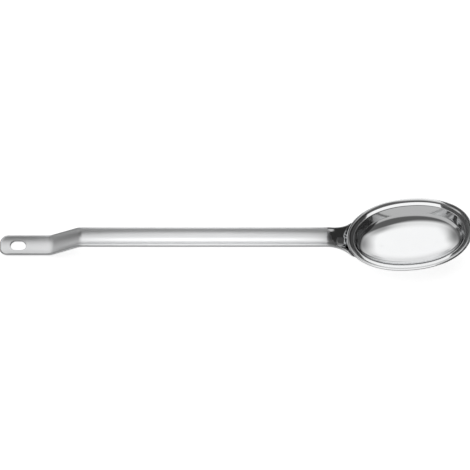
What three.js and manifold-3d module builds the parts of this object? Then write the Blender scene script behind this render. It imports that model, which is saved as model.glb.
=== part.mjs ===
// A stainless steel portion spoon, in millimetres, +Z up, +X from the hang tab to the bowl tip.
// It lies as on a table, on the underside of its hang tab and on the rear edge of the bowl's base.
// The bowl is an oval pressing with a stepped rim. The handle is a channel pressing whose front
// end flares into a foot that cradles the bowl under its rim, where three stitch welds hold it.
import * as THREE from 'three';
import { mergeVertices } from 'three/addons/utils/BufferGeometryUtils.js';
import Module from 'manifold-3d';

const wasm = await Module();
wasm.setup();

// Bowl, measured in the plane of its rim
const BOWL_LENGTH = 106.6;
const BOWL_WIDTH = 70.2;
const BOWL_DEPTH = 17;
const BOWL_SHEET = 1.5;
const RIM_TILT = THREE.MathUtils.degToRad(8.3);
const REAR_FULLNESS = 2.1;
const TIP_FULLNESS = 2.15;
const LIP_WIDTH = 2.1;
const LIP_DROP = 0.75;
const STEP_RUN = 1;
const STEP_DROP = 0.8;
const SHELF_WIDTH = 2.6;
const SHELF_DROP = 0.8;
const KNEE_INSET = 12.2;
const KNEE_DROP = 12.3;
const REAR_STRETCH = 5;
const TIP_STRETCH = 3;
const FLOOR_WIDTH = 19.6;
const STEP_RADIUS = 0.95;
const BROW_RADIUS = 0.8;
const KNEE_RADIUS = 15;
const FLOOR_RADIUS = 40;

// Handle strip, from the end of the hang tab to the bowl
const HANDLE_SHEET = 2.5;
const TAB_LENGTH = 41;
const TAB_WIDTH = 19.5;
const TAB_CORNER = 6.5;
const TAB_TROUGH = 1.8;
const SLOT_LENGTH = 13.2;
const SLOT_WIDTH = 8.9;
const SLOT_MARGIN = 9;
const JOGGLE_RUN = 30;
const JOGGLE_EASE = 5;
const SHAFT_LENGTH = 206.5;
const SHAFT_WIDTH = 19.2;
const SHAFT_TROUGH = 4.1;
const LIP_OVER_RIM = 3.7;

// Neck and foot, where the channel meets the bowl
const NECK_LENGTH = 17;
const NECK_STRAIGHT = 3.2;
const FLARE_RADIUS = 28;
const FLARE_REACH = 4;
const FALL_RUN = 24;
const FALL_EASE = 4;
const FOLD_RUN = 12;
const FOLD_EASE = 3;
const FOOT_REACH = 14;
const FOOT_FOLLOW = 0.3;
const FOOT_TROUGH = 5.8;
const FOOT_FLOOR = 7.5;
const FOOT_LIP_UNDER_RIM = 0.6;

// Welds and fits
const WELD_RADIUS = 1.9;
const WELD_SPACING = 10;
const WELD_LENGTH = 7;
const CLEARANCE = 0.3;

// Fineness of the facets
const OVAL_STEPS = 60;
const ROUND_STEPS = 5;
const FILLET_STEPS = 3;
const KNEE_STEPS = 7;
const FLOOR_STEPS = 3;
const SECTION_STEPS = 15;
const EDGE_STEPS = 4;
const NECK_STEPS = 18;
const WELD_STEPS = 6;

const bowlHalfLength = BOWL_LENGTH / 2;
const bowlHalfWidth = BOWL_WIDTH / 2;
const overallLength = TAB_LENGTH + JOGGLE_RUN + SHAFT_LENGTH + NECK_LENGTH + BOWL_LENGTH * Math.cos(RIM_TILT);

// Places along the spoon, with the middle of its length at the origin
const tabEnd = -overallLength / 2;
const joggleStart = tabEnd + TAB_LENGTH;
const shaftStart = joggleStart + JOGGLE_RUN;
const neckStart = shaftStart + SHAFT_LENGTH;
const rimStart = neckStart + NECK_LENGTH;
const flareStart = neckStart + NECK_STRAIGHT;
const flareEnd = rimStart + FLARE_REACH;
const fallEnd = neckStart + FALL_RUN;
const foldEnd = neckStart + FOLD_RUN;
const footEnd = rimStart + FOOT_REACH;

// Middle of the bowl's sheet as corners [inset from the rim's edge, height, fillet radius, facets]
const lipLevel = -BOWL_SHEET / 2;
const stepLevel = lipLevel - LIP_DROP;
const shelfLevel = stepLevel - STEP_DROP;
const browLevel = shelfLevel - SHELF_DROP;
const floorLevel = -BOWL_DEPTH - BOWL_SHEET / 2;
const shelfStart = LIP_WIDTH + STEP_RUN;
const wallStart = shelfStart + SHELF_WIDTH;
const dishFoot = (BOWL_WIDTH - FLOOR_WIDTH) / 2;
const dishSlope = Math.atan2(-KNEE_DROP - floorLevel, dishFoot - KNEE_INSET);
const floorEdge = dishFoot + FLOOR_RADIUS * Math.tan(dishSlope / 2);

const bowlCorners = [
  [BOWL_SHEET / 2, lipLevel, 0, 0],
  [LIP_WIDTH, stepLevel, STEP_RADIUS, FILLET_STEPS],
  [shelfStart, shelfLevel, STEP_RADIUS, FILLET_STEPS],
  [wallStart, browLevel, BROW_RADIUS, FILLET_STEPS],
  [KNEE_INSET, -KNEE_DROP, KNEE_RADIUS, KNEE_STEPS],
  [dishFoot, floorLevel, FLOOR_RADIUS, FLOOR_STEPS],
  [floorEdge + BOWL_SHEET, floorLevel, 0, 0],
];

// A polyline with its corners rounded, as points with their unit normals
function filletedLine(corners) {
  const points = corners.map(([x, y]) => new THREE.Vector2(x, y));
  const line = [points[0]];
  for (let i = 1; i < points.length - 1; i += 1) {
    const back = points[i - 1].clone().sub(points[i]).normalize();
    const ahead = points[i + 1].clone().sub(points[i]).normalize();
    const cut = corners[i][2] / Math.tan(Math.acos(back.dot(ahead)) / 2);
    const enter = points[i].clone().addScaledVector(back, cut);
    const leave = points[i].clone().addScaledVector(ahead, cut);
    line.push(...new THREE.QuadraticBezierCurve(enter, points[i], leave).getPoints(corners[i][3]));
  }
  line.push(points[points.length - 1]);
  return withNormals(line);
}

function withNormals(points) {
  return points.map((point, i) => {
    const before = points[Math.max(i - 1, 0)];
    const after = points[Math.min(i + 1, points.length - 1)];
    const along = after.clone().sub(before).normalize();
    return { point, normal: new THREE.Vector2(-along.y, along.x) };
  });
}

function offsetLine(line, distance) {
  return line.map(({ point, normal }) => point.clone().addScaledVector(normal, distance));
}

// A half circle of points round an end of the sheet, from its upper to its lower side
function roundEdge(middle, outward, radius, steps) {
  const edge = [];
  for (let i = 1; i < steps; i += 1) {
    const turn = Math.PI / 2 - (Math.PI * i) / steps;
    const across = new THREE.Vector2(-outward.y, outward.x).multiplyScalar(radius * Math.sin(turn));
    edge.push(middle.clone().addScaledVector(outward, radius * Math.cos(turn)).add(across));
  }
  return edge;
}

function meshGeometry(vertices, triangles) {
  const geometry = new THREE.BufferGeometry();
  geometry.setAttribute('position', new THREE.Float32BufferAttribute(vertices.flatMap((v) => [v.x, v.y, v.z]), 3));
  geometry.setIndex(triangles);
  return geometry;
}

// How far the oval at a height is drawn out toward one end, so that the end walls stand steeper than the sides
function endStretch(ahead, height) {
  const share = THREE.MathUtils.clamp((browLevel - height) / (browLevel + KNEE_DROP), 0, 1);
  return share * (ahead ? TIP_STRETCH : REAR_STRETCH);
}

// A point on the oval that lies inset from the rim's edge, fuller toward the tip than toward the handle
function ovalPoint(angle, inset, height) {
  const power = 2 / (Math.cos(angle) > 0 ? TIP_FULLNESS : REAR_FULLNESS);
  const along = Math.sign(Math.cos(angle)) * Math.abs(Math.cos(angle)) ** power;
  const across = Math.sign(Math.sin(angle)) * Math.abs(Math.sin(angle)) ** power;
  const halfLength = bowlHalfLength - inset + endStretch(Math.cos(angle) > 0, height);
  return new THREE.Vector3(halfLength * along, (bowlHalfWidth - inset) * across, height);
}

// A closed body of oval rings, given as [inset, height] points from its top middle to its bottom middle
function ovalSolid(rings) {
  const vertices = [];
  const triangles = [];
  for (const ring of rings) {
    for (let j = 0; j < OVAL_STEPS; j += 1) {
      vertices.push(ovalPoint((2 * Math.PI * j) / OVAL_STEPS, ring.x, ring.y));
    }
  }
  for (let i = 0; i < rings.length - 1; i += 1) {
    for (let j = 0; j < OVAL_STEPS; j += 1) {
      const a = i * OVAL_STEPS + j;
      const b = i * OVAL_STEPS + ((j + 1) % OVAL_STEPS);
      triangles.push(a, a + OVAL_STEPS, b, b, a + OVAL_STEPS, b + OVAL_STEPS);
    }
  }
  const top = vertices.push(new THREE.Vector3(0, 0, rings[0].y)) - 1;
  const bottom = vertices.push(new THREE.Vector3(0, 0, rings[rings.length - 1].y)) - 1;
  const lastRing = (rings.length - 1) * OVAL_STEPS;
  for (let j = 0; j < OVAL_STEPS; j += 1) {
    const next = (j + 1) % OVAL_STEPS;
    triangles.push(top, j, next, bottom, lastRing + next, lastRing + j);
  }
  return meshGeometry(vertices, triangles);
}

const bowlMiddle = filletedLine(bowlCorners);
const bowlUnderside = offsetLine(bowlMiddle, -BOWL_SHEET / 2);

function bowlGeometry() {
  const inside = offsetLine(bowlMiddle, BOWL_SHEET / 2).reverse();
  const edge = roundEdge(bowlMiddle[0].point, new THREE.Vector2(-1, 0), BOWL_SHEET / 2, EDGE_STEPS);
  return ovalSolid([...inside, ...edge.reverse(), ...bowlUnderside]);
}

// The tilted bowl stands with the lowest point of its underside on the table
const rearReach = (p) => bowlHalfLength - p.x + endStretch(false, p.y);
const lowestReach = Math.min(
  ...bowlUnderside.map((p) => p.y * Math.cos(RIM_TILT) - rearReach(p) * Math.sin(RIM_TILT)),
);
const bowlCentre = new THREE.Vector3(rimStart + bowlHalfLength * Math.cos(RIM_TILT), 0, -lowestReach);
const bowlFrame = new THREE.Matrix4().makeRotationY(-RIM_TILT).setPosition(bowlCentre);
const rimLevel = bowlCentre.z - bowlHalfLength * Math.sin(RIM_TILT);

// The underside of the bowl and a clearance, with the shelf carried straight out to the rim's edge
const shelfRise = (SHELF_DROP / SHELF_WIDTH) * (shelfStart + CLEARANCE);
const bowlReach = offsetLine(
  filletedLine([[-CLEARANCE, shelfLevel + shelfRise, 0, 0], ...bowlCorners.slice(3)]),
  -BOWL_SHEET / 2 - CLEARANCE,
);

// The space over that underside, open to well above the rim
function bowlEnvelope() {
  const headroom = new THREE.Vector2(-CLEARANCE, BOWL_DEPTH);
  return ovalSolid([headroom, ...bowlReach]).applyMatrix4(bowlFrame);
}

// Levels of the middle of the handle's lips
const tabLipLevel = HANDLE_SHEET / 2 + TAB_TROUGH;
const shaftLipLevel = rimLevel + LIP_OVER_RIM - HANDLE_SHEET / 2;
const footLipLevel = rimLevel - FOOT_LIP_UNDER_RIM - HANDLE_SHEET / 2;

// A ramp from 0 to 1 with a straight middle and parabolic ends of the length ease
function softRamp(x, from, to, ease) {
  const run = to - from;
  const t = THREE.MathUtils.clamp(x - from, 0, run);
  const slope = 1 / (run - ease);
  if (t < ease) {
    return (slope * t * t) / (2 * ease);
  }
  if (t > run - ease) {
    return 1 - (slope * (run - t) ** 2) / (2 * ease);
  }
  return slope * (t - ease / 2);
}

function joggleShare(x) {
  return softRamp(x, joggleStart, shaftStart, JOGGLE_EASE);
}

function neckShare(x) {
  return softRamp(x, neckStart, fallEnd, FALL_EASE);
}

function foldShare(x) {
  return softRamp(x, neckStart, foldEnd, FOLD_EASE);
}

function handleLipLevel(x) {
  const rise = (shaftLipLevel - tabLipLevel) * joggleShare(x);
  const fall = (shaftLipLevel - footLipLevel) * neckShare(x);
  return tabLipLevel + rise - fall;
}

function handleTrough(x) {
  const deepen = (SHAFT_TROUGH - TAB_TROUGH) * joggleShare(x);
  return TAB_TROUGH + deepen + (FOOT_TROUGH - SHAFT_TROUGH) * foldShare(x);
}

// Half the width of the rim's outline, seen from above, on its side toward the handle
function rimHalfWidth(x) {
  const reach = (bowlCentre.x - x) / (bowlHalfLength * Math.cos(RIM_TILT));
  return bowlHalfWidth * (1 - reach ** REAR_FULLNESS) ** (1 / REAR_FULLNESS);
}

// Half the width between the middles of the two lips: past its flare the foot draws in under the rim
function channelHalfWidth(x) {
  const tabHalf = (TAB_WIDTH - HANDLE_SHEET) / 2;
  const shaftHalf = (SHAFT_WIDTH - HANDLE_SHEET) / 2;
  const along = Math.max(Math.min(x, flareEnd) - flareStart, 0);
  const flare = FLARE_RADIUS - Math.sqrt(FLARE_RADIUS ** 2 - along ** 2);
  const beside = FOOT_FOLLOW * (rimHalfWidth(Math.max(x, flareEnd)) - rimHalfWidth(flareEnd));
  return tabHalf + (shaftHalf - tabHalf) * joggleShare(x) + flare + beside;
}

// Half the width of the strip's middle once the corners of the tab are cut round
function handleHalfWidth(x) {
  const fromEnd = Math.min(x - tabEnd, TAB_CORNER);
  const corner = TAB_CORNER - Math.sqrt(TAB_CORNER ** 2 - (TAB_CORNER - fromEnd) ** 2);
  return channelHalfWidth(x) - corner;
}

// Height of the middle of the sheet over its lips: an arc that turns to a flat floor with sloped sides
function sheetHeight(x, y) {
  const half = channelHalfWidth(x);
  const trough = handleTrough(x);
  const radius = (half ** 2 + trough ** 2) / (2 * trough);
  const arc = radius - trough - Math.sqrt(radius ** 2 - y ** 2);
  const rise = Math.max(Math.abs(y) - FOOT_FLOOR / 2, 0) / (half - FOOT_FLOOR / 2);
  const slopes = trough * (rise - 1);
  return arc + (slopes - arc) * foldShare(x);
}

function sectionMiddle(x) {
  const half = handleHalfWidth(x);
  const points = [];
  for (let i = 0; i <= SECTION_STEPS; i += 1) {
    const y = half * (1 - (2 * i) / SECTION_STEPS);
    points.push(new THREE.Vector2(y, sheetHeight(x, y)));
  }
  return withNormals(points);
}

// The sheet's outline across the strip: its upper side, one round lip, its lower side, the other lip
function sectionOutline(x, sheet) {
  const middle = sectionMiddle(x);
  const upper = offsetLine(middle, -sheet / 2);
  const lower = offsetLine(middle, sheet / 2).reverse();
  const first = middle[0];
  const last = middle[middle.length - 1];
  const leftOutward = new THREE.Vector2(-first.normal.y, first.normal.x);
  const rightOutward = new THREE.Vector2(last.normal.y, -last.normal.x);
  const rightLip = roundEdge(last.point, rightOutward, sheet / 2, EDGE_STEPS).reverse();
  const leftLip = roundEdge(first.point, leftOutward, sheet / 2, EDGE_STEPS).reverse();
  return [...upper, ...rightLip, ...lower, ...leftLip];
}

function handleStations() {
  const stations = [];
  for (let i = 0; i <= ROUND_STEPS; i += 1) {
    stations.push(tabEnd + TAB_CORNER * (1 - Math.cos((Math.PI / 2) * (i / ROUND_STEPS))));
  }
  for (const bend of [joggleStart, shaftStart - JOGGLE_EASE]) {
    for (let i = 0; i <= ROUND_STEPS; i += 1) {
      stations.push(bend + (JOGGLE_EASE * i) / ROUND_STEPS);
    }
  }
  for (let i = 0; i <= NECK_STEPS; i += 1) {
    stations.push(neckStart + ((footEnd - neckStart) * i) / NECK_STEPS);
  }
  return stations;
}

// The handle's strip, each section square to the strip where it stands
function stripGeometry(sheet) {
  const outlines = [];
  const vertices = [];
  const stations = handleStations();
  const probe = 0.01;
  for (const x of stations) {
    const slope = (handleLipLevel(x + probe) - handleLipLevel(x - probe)) / (2 * probe);
    const tilt = Math.atan(slope);
    const outline = sectionOutline(x, sheet);
    outlines.push(outline);
    for (const { x: across, y: up } of outline) {
      vertices.push(new THREE.Vector3(x - up * Math.sin(tilt), across, handleLipLevel(x) + up * Math.cos(tilt)));
    }
  }
  const size = outlines[0].length;
  const triangles = [];
  for (let i = 0; i < stations.length - 1; i += 1) {
    for (let j = 0; j < size; j += 1) {
      const a = i * size + j;
      const b = i * size + ((j + 1) % size);
      triangles.push(a, b, a + size, b, b + size, a + size);
    }
  }
  for (const [a, b, c] of THREE.ShapeUtils.triangulateShape(outlines[0], [])) {
    triangles.push(a, c, b);
  }
  const lastRing = (stations.length - 1) * size;
  for (const [a, b, c] of THREE.ShapeUtils.triangulateShape(outlines[outlines.length - 1], [])) {
    triangles.push(lastRing + a, lastRing + b, lastRing + c);
  }
  return meshGeometry(vertices, triangles);
}

function toSolid(geometry) {
  const bare = geometry.clone();
  bare.deleteAttribute('normal');
  bare.deleteAttribute('uv');
  const merged = mergeVertices(bare, 1e-5);
  const vertProperties = new Float32Array(merged.attributes.position.array);
  const triVerts = new Uint32Array(merged.index.array);
  return new wasm.Manifold(new wasm.Mesh({ numProp: 3, vertProperties, triVerts }));
}

function toGeometry(solid) {
  const mesh = solid.getMesh();
  const geometry = new THREE.BufferGeometry();
  geometry.setAttribute('position', new THREE.BufferAttribute(new Float32Array(mesh.vertProperties), 3));
  geometry.setIndex(new THREE.BufferAttribute(new Uint32Array(mesh.triVerts), 1));
  return geometry;
}

// The hanging slot as a block with round ends, tall enough to pass through the tab
function slotGeometry() {
  const radius = SLOT_WIDTH / 2;
  const straight = SLOT_LENGTH - SLOT_WIDTH;
  const outline = new THREE.Shape();
  outline.absarc(straight, 0, radius, -Math.PI / 2, Math.PI / 2, false);
  outline.absarc(0, 0, radius, Math.PI / 2, (3 * Math.PI) / 2, false);
  const depth = 4 * (HANDLE_SHEET + TAB_TROUGH);
  const block = new THREE.ExtrudeGeometry(outline, { depth, bevelEnabled: false, curveSegments: 2 * ROUND_STEPS });
  return block.translate(tabEnd + SLOT_MARGIN + radius, 0, -depth / 2);
}

const bowlSeat = toSolid(bowlEnvelope());

function handleGeometry() {
  const strip = toSolid(stripGeometry(HANDLE_SHEET));
  const slot = toSolid(slotGeometry());
  return toGeometry(strip.subtract(slot).subtract(bowlSeat));
}

// The corner under the foot where its lower side meets the bowl's wall, one point at each angle of the oval
function seamPoint(angle) {
  const wall = bowlReach.map((p) => ovalPoint(angle, p.x, p.y).applyMatrix4(bowlFrame));
  const overFoot = (p) => p.z - handleLipLevel(p.x) - sheetHeight(p.x, p.y) + HANDLE_SHEET / 2 + CLEARANCE;
  const below = wall.findIndex((p) => overFoot(p) < 0);
  const upper = overFoot(wall[below - 1]);
  const lower = overFoot(wall[below]);
  return wall[below - 1].clone().lerp(wall[below], upper / (upper - lower));
}

function seamCurve() {
  const reach = WELD_SPACING + WELD_LENGTH / 2 + CLEARANCE;
  const spread = Math.asin(reach / (bowlHalfWidth - wallStart));
  const points = [];
  for (let i = -OVAL_STEPS; i <= OVAL_STEPS; i += 1) {
    points.push(seamPoint(Math.PI - (spread * i) / OVAL_STEPS));
  }
  return new THREE.CatmullRomCurve3(points);
}

const seam = seamCurve();
const footBody = toSolid(stripGeometry(HANDLE_SHEET + 2 * CLEARANCE));

// One stitch of weld along the seam, its middle a distance to the left of the spoon's middle
function weldGeometry(offset) {
  const points = [];
  for (let i = 0; i <= WELD_STEPS; i += 1) {
    const along = offset + WELD_LENGTH * (i / WELD_STEPS - 0.5);
    points.push(seam.getPointAt(0.5 + along / seam.getLength()));
  }
  const extrudePath = new THREE.CatmullRomCurve3(points);
  const round = new THREE.Shape();
  round.absarc(0, 0, WELD_RADIUS, 0, 2 * Math.PI, false);
  const bead = new THREE.ExtrudeGeometry(round, { steps: WELD_STEPS, curveSegments: 4 * FILLET_STEPS, extrudePath });
  return toGeometry(toSolid(bead).subtract(bowlSeat).subtract(footBody));
}

const polishedSteel = new THREE.MeshStandardMaterial({ color: 0xdadcde, roughness: 0.08, metalness: 1 });
const satinSteel = new THREE.MeshStandardMaterial({ color: 0xc8cacb, roughness: 0.36, metalness: 1 });

const spoon = new THREE.Group();

const bowl = new THREE.Mesh(bowlGeometry(), polishedSteel);
bowl.name = 'bowl';
bowl.position.copy(bowlCentre);
bowl.rotation.y = -RIM_TILT;
spoon.add(bowl);

const handle = new THREE.Mesh(handleGeometry(), satinSteel);
handle.name = 'handle';
spoon.add(handle);

const weldPlaces = [
  ['weld_left', WELD_SPACING],
  ['weld_middle', 0],
  ['weld_right', -WELD_SPACING],
];
for (const [name, offset] of weldPlaces) {
  const weldSteel = new THREE.MeshStandardMaterial({ color: 0xb9b6b0, roughness: 0.45, metalness: 1 });
  const weld = new THREE.Mesh(weldGeometry(offset), weldSteel);
  weld.name = name;
  spoon.add(weld);
}

export default spoon;
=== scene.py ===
"""Looks of a stainless steel portion spoon, built over its packed frame and set in a plain studio."""
import math
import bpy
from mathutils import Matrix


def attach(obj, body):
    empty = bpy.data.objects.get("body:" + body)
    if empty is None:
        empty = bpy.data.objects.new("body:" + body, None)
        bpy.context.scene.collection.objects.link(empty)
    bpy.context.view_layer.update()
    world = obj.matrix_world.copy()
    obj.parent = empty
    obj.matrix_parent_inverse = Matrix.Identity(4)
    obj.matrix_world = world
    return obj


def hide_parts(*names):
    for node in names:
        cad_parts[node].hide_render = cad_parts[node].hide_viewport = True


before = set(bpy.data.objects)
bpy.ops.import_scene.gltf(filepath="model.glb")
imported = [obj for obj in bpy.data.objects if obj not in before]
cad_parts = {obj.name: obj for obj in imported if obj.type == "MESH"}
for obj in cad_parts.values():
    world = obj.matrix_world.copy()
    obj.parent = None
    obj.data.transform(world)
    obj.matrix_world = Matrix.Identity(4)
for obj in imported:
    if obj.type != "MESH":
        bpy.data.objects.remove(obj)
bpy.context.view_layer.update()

from types import SimpleNamespace

import bmesh
import bpy
from mathutils import Matrix, Vector

bl_info = {
    "name": "Portion spoon",
    "version": (1, 0, 0),
    "blender": (4, 5, 0),
    "location": "View3D > Sidebar > Spoon",
    "description": "Builds a portion spoon: a bowl with a stepped rim, a channel handle and stitch welds",
    "category": "Object",
}

MM = 0.001
BODY = "root"

# How far the lip's round edge rises above its middle, as a share of half the sheet
LIP_DRESSING = 0.8

# How bluntly a weld bead tapers at its ends
BEAD_TAPER = 4

# Gap between the spoon and the floor, in millimetres
FLOOR_GAP = 0.2

# How far the camera sees, as a multiple of its distance
SIGHT = 3

# Fineness of the meshes
OVAL_STEPS = 240
STEP_STEPS = 6
BROW_STEPS = 8
KNEE_STEPS = 24
FLOOR_STEPS = 12
EDGE_STEPS = 10
SECTION_STEPS = 36
BEND_STEPS = 12
SHAFT_STEPS = 14
NECK_STEPS = 30
FOOT_STEPS = 14
TAB_SIDE_STEPS = 12
TAB_CORNER_STEPS = 12
TAB_END_STEPS = 6
SLOT_RINGS = 9
SLOT_EDGE_STEPS = 4
SEAM_STEPS = 90
BEAD_STEPS = 54
BEAD_SECTION_STEPS = 12
STOP_STEPS = 120
FLOOR_SEGMENTS = 8
FLAG_SEGMENTS = 4

# Fineness of the searches and slopes, in millimetres apart from the counts
SEARCH_OUTSIDE = 20.0
SEARCH_MARGIN = 0.001
SEARCH_HALVINGS = 40
SHEET_PROBE = 0.02
FOOT_PROBE = 0.5
POINT_DIGITS = 4


def length(name, description, millimetres):
    """A size property in metres, written in millimetres."""
    return bpy.props.FloatProperty(
        name=name, description=description, default=millimetres * MM, min=0.0, precision=5, unit="LENGTH")


def angle(name, description, degrees):
    """An angle property in radians, written in degrees."""
    return bpy.props.FloatProperty(
        name=name, description=description, default=math.radians(degrees), subtype="ANGLE")


def share(name, description, value):
    """A property that is a number without a unit, or a lamp's power."""
    return bpy.props.FloatProperty(name=name, description=description, default=value, precision=3)


def colour(name, description, value):
    """A colour property."""
    return bpy.props.FloatVectorProperty(
        name=name, description=description, default=value, size=3, min=0.0, max=1.0, subtype="COLOR")


class SpoonBowlSizes(bpy.types.PropertyGroup):
    """Sizes of the bowl, in the plane of its rim"""

    rim_length: length("Length", "Rim edge to rim edge along the spoon", 106.6)
    rim_width: length("Width", "Rim edge to rim edge across the spoon", 70.2)
    depth: length("Depth", "Rim to the inside of the floor", 17.0)
    sheet: length("Sheet", "Thickness of the bowl's sheet", 1.5)
    tilt: angle("Tilt", "How far the tip is raised over the handle's side", 8.3)
    rear_fullness: share("Rear fullness", "Roundness of the oval toward the handle, 2 is an ellipse", 2.1)
    tip_fullness: share("Tip fullness", "Roundness of the oval toward the tip, 2 is an ellipse", 2.15)
    lip_width: length("Lip width", "Width of the rim's outer lip", 2.1)
    lip_drop: length("Lip drop", "Fall of the lip toward the bowl", 0.75)
    step_run: length("Step run", "Width of the rim's step", 1.0)
    step_drop: length("Step drop", "Height of the rim's step", 0.8)
    shelf_width: length("Shelf width", "Width of the shelf inside the step", 2.6)
    shelf_drop: length("Shelf drop", "Fall of the shelf toward the bowl", 0.8)
    knee_inset: length("Knee inset", "Rim edge to the corner between the wall and the dished floor", 12.2)
    knee_drop: length("Knee drop", "Depth of that corner under the rim", 12.3)
    rear_stretch: length("Rear stretch", "How far the foot of the wall is drawn out toward the handle", 5.0)
    tip_stretch: length("Tip stretch", "How far the foot of the wall is drawn out toward the tip", 3.0)
    floor_width: length("Floor width", "Distance across the foot of the dish", 19.6)
    step_radius: length("Step radius", "Rounding of the rim's step", 0.95)
    brow_radius: length("Brow radius", "Rounding from the shelf into the wall", 0.8)
    knee_radius: length("Knee radius", "Rounding from the wall into the dish", 15.0)
    floor_radius: length("Floor radius", "Rounding from the dish into the small flat at its foot", 40.0)


class SpoonHandleSizes(bpy.types.PropertyGroup):
    """Sizes of the handle, from the end of the hang tab to the foot under the bowl"""

    sheet: length("Sheet", "Thickness of the handle's sheet", 2.5)
    tab_length: length("Tab length", "Hang tab, up to the double bend", 41.0)
    tab_width: length("Tab width", "Width over the lips of the tab", 19.5)
    tab_corner: length("Tab corner", "Rounding of the tab's corners", 7.2)
    tab_trough: length("Tab trough", "Depth of the tab's hollow", 1.8)
    slot_length: length("Slot length", "Hanging slot, end to end", 13.2)
    slot_width: length("Slot width", "Hanging slot, side to side", 8.9)
    slot_margin: length("Slot margin", "End of the tab to the slot", 9.0)
    slot_edge: length("Slot edge", "Rounding of the slot's edges", 0.4)
    joggle_run: length("Bend run", "Length of the double bend", 30.0)
    joggle_ease: length("Bend ease", "Length over which each bend turns", 5.0)
    shaft_length: length("Shaft length", "Straight shaft between the bends and the neck", 206.5)
    shaft_width: length("Shaft width", "Width over the lips of the shaft", 19.2)
    shaft_trough: length("Shaft trough", "Depth of the shaft's channel", 4.1)
    lip_over_rim: length("Lip over rim", "Height of the shaft's lips over the rim", 3.7)
    neck_length: length("Neck length", "End of the shaft to the rim", 17.0)
    neck_straight: length("Neck straight", "Part of the neck before it flares", 3.2)
    flare_radius: length("Flare radius", "Radius of the neck's flare", 28.0)
    flare_reach: length("Flare reach", "How far the flare goes on past the rim's edge", 4.0)
    fall_run: length("Fall run", "Length over which the neck's lips fall to the foot", 24.0)
    fall_ease: length("Fall ease", "Length over which the fall starts and stops", 4.0)
    fold_run: length("Fold run", "Length over which the channel folds to the foot's shape", 12.0)
    fold_ease: length("Fold ease", "Length over which the fold starts and stops", 3.0)
    foot_reach: length("Foot reach", "How far the foot goes under the bowl", 14.0)
    foot_follow: share("Foot follow", "How much of the rim's spread the foot follows", 0.3)
    foot_trough: length("Foot trough", "Depth of the foot's hollow", 5.8)
    foot_floor: length("Foot floor", "Width of the foot's flat floor", 7.5)
    foot_crease: length("Foot crease", "Softness of the edges of the foot's floor", 0.8)
    foot_lip_under_rim: length("Foot lip under rim", "Depth of the foot's lips under the rim", 0.6)


class SpoonWeldSizes(bpy.types.PropertyGroup):
    """Sizes of the stitch welds under the foot"""

    radius: length("Radius", "Leg of the weld bead", 1.9)
    spacing: length("Spacing", "Middle of one stitch to the next along the seam", 10.0)
    bead_length: length("Length", "Length of one stitch", 7.0)
    ripple: length("Ripple", "Height of the bead's ripples", 0.14)
    ripple_pitch: length("Ripple pitch", "Distance from one ripple to the next", 0.9)
    clearance: length("Clearance", "Gap that keeps the pieces apart", 0.3)


class SpoonFinish(bpy.types.PropertyGroup):
    """Colours and gloss of the steel"""

    polished: colour("Polished steel", "Mirror-polished sheet of the bowl and the neck", (0.80, 0.805, 0.81))
    satin: colour("Satin steel", "Brushed sheet of the handle", (0.70, 0.705, 0.71))
    weld: colour("Weld steel", "Bare bead of the welds", (0.46, 0.44, 0.41))
    weld_tint: colour("Weld tint", "Heat tint in patches over the bead", (0.30, 0.24, 0.19))
    polished_roughness: share("Polished roughness", "Roughness of the mirror polish", 0.07)
    satin_roughness: share("Satin roughness", "Roughness of the brushed sheet", 0.4)


class SpoonStudio(bpy.types.PropertyGroup):
    """Camera, floor and light"""

    elevation: angle("Elevation", "Height of the camera over the table", 60.0)
    distance: length("Distance", "Camera to the spoon", 3000.0)
    frame_width: length("Frame width", "Width that fills the picture", 399.9)
    aim_rise: length("Aim", "Middle of the picture over the table's middle line", 10.2)
    floor_size: length("Floor size", "Side of the square floor", 4000.0)
    floor_colour: colour("Floor", "Pale floor", (0.8, 0.8, 0.8))
    floor_glow: share("Floor glow", "Light that the floor gives off by itself", 1.0)
    softbox: share("Softbox", "Brightness of the sky of light over and behind the spoon", 1.12)
    card: share("Card", "Brightness of the grey card in front", 0.52)
    dark: share("Dark", "Brightness of the dark room", 0.03)
    tab_flag_tone: share("Tab flag tone", "Brightness of the cloth of the flag over the tab", 0.008)
    tab_flag_height: length("Tab flag height", "Height of the dark flag over the tab", 110.0)
    tab_flag_near: length("Tab flag near", "How far the tab's flag reaches toward the camera", 75.0)
    tab_flag_far: length("Tab flag far", "How far the tab's flag reaches away from the camera", 15.0)
    tab_flag_over: length("Tab flag over", "How far the tab's flag reaches past the tab's end", 25.0)
    neck_flag_tone: share("Neck flag tone", "Brightness of the cloth of the flag over the neck", 0.09)
    neck_flag_height: length("Neck flag height", "Height of the dark flag over the neck", 45.0)
    neck_flag_near: length("Neck flag near", "How far the neck's flag reaches toward the camera", 5.0)
    neck_flag_far: length("Neck flag far", "How far the neck's flag reaches away from the camera", 45.0)
    neck_flag_length: length("Neck flag length", "How far the neck's flag reaches past the shaft", 37.0)
    tip_flag_tone: share("Tip flag tone", "Brightness of the cloth of the flag over the tip", 0.15)
    tip_flag_height: length("Tip flag height", "Height of the dark flag over the bowl's tip", 45.0)
    tip_flag_near: length("Tip flag near", "How far the tip's flag reaches toward the camera", 30.0)
    tip_flag_far: length("Tip flag far", "How far the tip's flag reaches away from the camera", 45.0)
    tip_flag_length: length("Tip flag length", "How far the tip's flag reaches back from the tip", 34.5)
    strip_width: length("Strip width", "Width of the strip lamps over the shaft", 170.0)
    strip_distance: length("Strip distance", "Strip lamps to the shaft", 220.0)
    strip_spread: angle("Strip spread", "Angle into which the strip lamps shine", 70.0)
    back_lean: angle("Back lean", "Lean of the back strip lamp away from the camera", 42.0)
    back_power: share("Back power", "Power of the back strip lamp in watts", 0.0190)
    front_lean: angle("Front lean", "Lean of the front strip lamp, negative toward the camera", -26.0)
    front_power: share("Front power", "Power of the front strip lamp in watts", 0.0170)


NOT_LENGTHS = ("tilt", "rear_fullness", "tip_fullness", "foot_follow")


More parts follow.
